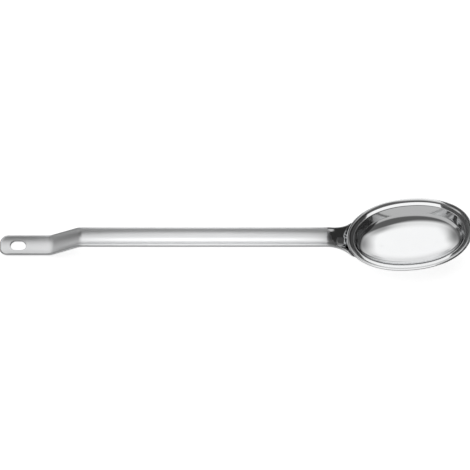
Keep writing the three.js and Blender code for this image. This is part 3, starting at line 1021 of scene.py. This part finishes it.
class SPOON_OT_make_stage(bpy.types.Operator):
    """Set up the camera, the pale floor and the soft studio light"""

    bl_idname = "spoon.make_stage"
    bl_label = "Make stage"

    def execute(self, context):
        scene = context.scene
        studio = scene.spoon_studio
        spoon = Spoon(scene)
        self.lay_floor(scene, studio)
        self.light_room(scene, studio)
        tab, neck, tip = spoon.tab_end * MM, spoon.neck_start * MM, -spoon.tab_end * MM
        self.hang_flag(scene, "tab", tab - studio.tab_flag_over, spoon.joggle_start * MM)
        self.hang_flag(scene, "neck", neck, neck + studio.neck_flag_length)
        self.hang_flag(scene, "tip", tip - studio.tip_flag_length, tip)
        self.hang_strip(scene, spoon, "strip_lamp_back", studio.back_lean, studio.back_power)
        self.hang_strip(scene, spoon, "strip_lamp_front", studio.front_lean, studio.front_power)
        self.set_camera(scene, studio)
        return {"FINISHED"}

    def lay_floor(self, scene, studio):
        floor = flat_sheet("floor", FLOOR_SEGMENTS, studio.floor_size, pale_floor(studio))
        floor.location.z = -FLOOR_GAP * MM
        floor.visible_glossy = False
        scene.collection.objects.link(floor)

    def light_room(self, scene, studio):
        """A sky of light over and behind the spoon, a grey card in front, dark elsewhere."""
        world = bpy.data.worlds.new("studio")
        room = Finish("studio", world)
        way = room.node("ShaderNodeTexCoord").outputs["Generated"]
        split = room.node("ShaderNodeSeparateXYZ", {"Vector": way}).outputs
        x, y, z = split["X"], split["Y"], split["Z"]

        def product(*parts):
            total = parts[0]
            for part in parts[1:]:
                total = room.calc("MULTIPLY", total, part)
            return total

        front = room.ramp(x, *SOFTBOX_FRONT_EDGE)
        softbox = product(
            room.ramp(y, front, SOFTBOX_FULL_FROM, 0.0, studio.softbox),
            room.ramp(x, *SOFTBOX_RIGHT_FADE, smooth=False),
            room.ramp(x, *SOFTBOX_LEFT_FADE),
            room.ramp(z, *SOFTBOX_LOW_FADE))
        card = product(
            room.ramp(y, *CARD_BACK_FADE, studio.card, 0.0),
            room.ramp(x, *CARD_RIGHT_FADE),
            room.ramp(z, *CARD_TOP_FADE))
        light = room.calc("ADD", room.calc("ADD", softbox, card), studio.dark)
        room.nodes["Background"].inputs["Color"].default_value = WHITE
        room.links.new(light, room.nodes["Background"].inputs["Strength"])
        scene.world = world
        scene.view_settings.view_transform = "Standard"

    def hang_flag(self, scene, place, start, end):
        """A dark flag over one place, from start to end along the spoon, that the camera doesn't see."""
        settings = ("tone", "height", "near", "far")
        tone, height, near, far = (
            getattr(scene.spoon_studio, f"{place}_flag_{setting}") for setting in settings)
        name = f"flag_over_{place}"
        flag = flat_sheet(name, FLAG_SEGMENTS, 1.0, flag_cloth(f"cloth_of_{name}", tone))
        flag.location = ((start + end) / 2, (far - near) / 2, height)
        flag.scale = (end - start, near + far, 1.0)
        flag.visible_camera = False
        flag.visible_diffuse = False
        scene.collection.objects.link(flag)

    def hang_strip(self, scene, spoon, name, lean, power):
        """A strip lamp over the shaft that lights the handle alone."""
        studio = scene.spoon_studio
        lamp = bpy.data.lights.new(name, "AREA")
        lamp.shape = "RECTANGLE"
        lamp.size = (spoon.neck_start - spoon.shaft_start) * MM
        lamp.size_y = studio.strip_width
        lamp.spread = studio.strip_spread
        lamp.energy = power
        strip = bpy.data.objects.new(name, lamp)
        middle = Vector(((spoon.shaft_start + spoon.neck_start) / 2, 0.0, spoon.shaft_level)) * MM
        out = Vector((0.0, math.sin(lean), math.cos(lean)))
        strip.location = middle + out * studio.strip_distance
        strip.rotation_euler = (-lean, 0.0, 0.0)
        scene.collection.objects.link(strip)
        lit = bpy.data.collections.new(f"lit_by_{name}")
        lit.objects.link(bpy.data.objects["handle_pressing"])
        strip.light_linking.receiver_collection = lit

    def set_camera(self, scene, studio):
        lens = bpy.data.cameras.new("camera")
        lens.lens = lens.sensor_width * studio.distance / studio.frame_width
        lens.clip_end = SIGHT * studio.distance
        lens.dof.use_dof = False
        camera = bpy.data.objects.new("camera", lens)
        scene.collection.objects.link(camera)
        sine, cosine = math.sin(studio.elevation), math.cos(studio.elevation)
        aim = Vector((0.0, sine, cosine)) * studio.aim_rise
        camera.location = aim + Vector((0.0, -cosine, sine)) * studio.distance
        camera.rotation_euler = (math.pi / 2 - studio.elevation, 0.0, 0.0)
        scene.camera = camera


class SPOON_PT_sidebar(bpy.types.Panel):
    """The spoon's sizes, finishes and makers"""

    bl_label = "Portion spoon"
    bl_idname = "SPOON_PT_sidebar"
    bl_space_type = "VIEW_3D"
    bl_region_type = "UI"
    bl_category = "Spoon"

    def draw(self, context):
        for operator in OPERATORS:
            self.layout.operator(operator.bl_idname)
        for holder, group in GROUPS.items():
            box = self.layout.box()
            box.label(text=group.__doc__)
            for name in group.__annotations__:
                box.prop(getattr(context.scene, holder), name)


OPERATORS = (SPOON_OT_make_bowl, SPOON_OT_make_handle, SPOON_OT_make_welds, SPOON_OT_make_stage)
GROUPS = {
    "spoon_bowl": SpoonBowlSizes,
    "spoon_handle": SpoonHandleSizes,
    "spoon_weld": SpoonWeldSizes,
    "spoon_finish": SpoonFinish,
    "spoon_studio": SpoonStudio,
}
CLASSES = (*GROUPS.values(), *OPERATORS, SPOON_PT_sidebar)


def register():
    for item in CLASSES:
        bpy.utils.register_class(item)
    for holder, group in GROUPS.items():
        setattr(bpy.types.Scene, holder, bpy.props.PointerProperty(type=group))


def unregister():
    for holder in GROUPS:
        delattr(bpy.types.Scene, holder)
    for item in reversed(CLASSES):
        bpy.utils.unregister_class(item)


def main():
    register()
    bpy.ops.spoon.make_bowl()
    bpy.ops.spoon.make_handle()
    bpy.ops.spoon.make_welds()
    bpy.ops.spoon.make_stage()


if __name__ == "__main__":
    main()
